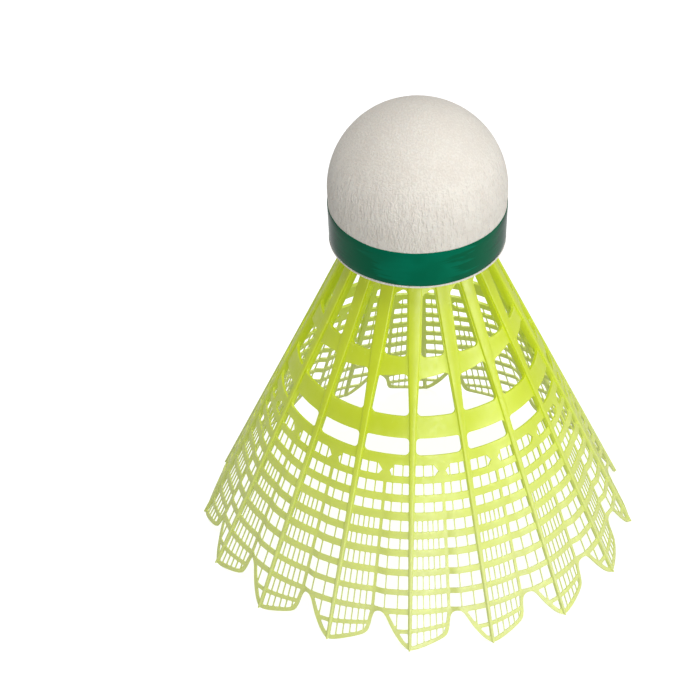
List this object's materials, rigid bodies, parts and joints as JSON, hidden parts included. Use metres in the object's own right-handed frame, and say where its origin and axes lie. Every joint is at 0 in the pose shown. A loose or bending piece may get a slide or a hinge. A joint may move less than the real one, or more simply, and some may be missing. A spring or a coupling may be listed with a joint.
{
  "type": "badminton shuttlecock",
  "caption": "Synthetic shuttlecock with a covered cork head, a tape band and a flared skirt of ribs, rings and lattice with scalloped feather ends.",
  "frame": {"origin": "centre of the circle through the feather tips, in the plane that they stand on", "axes": "+Z along the shuttlecock's axis, from the feather tips towards the head's nose"},
  "size_m": [0.066, 0.066, 0.0759],
  "materials": {
    "cork": "granular cork, matt",
    "cover_skin": "fine-grained white skin, satin",
    "band_tape": "glossy dark green tape",
    "adhesive": "cured clear amber",
    "skirt_nylon": "moulded neon yellow-green nylon, satin"
  },
  "bodies": {
    "root": {"cork_nose": "cork", "cork_base": "cork", "head_cover": "cover_skin", "head_band": "band_tape", "glue_bond": "adhesive", "skirt": "skirt_nylon"}
  },
  "joints": []
}
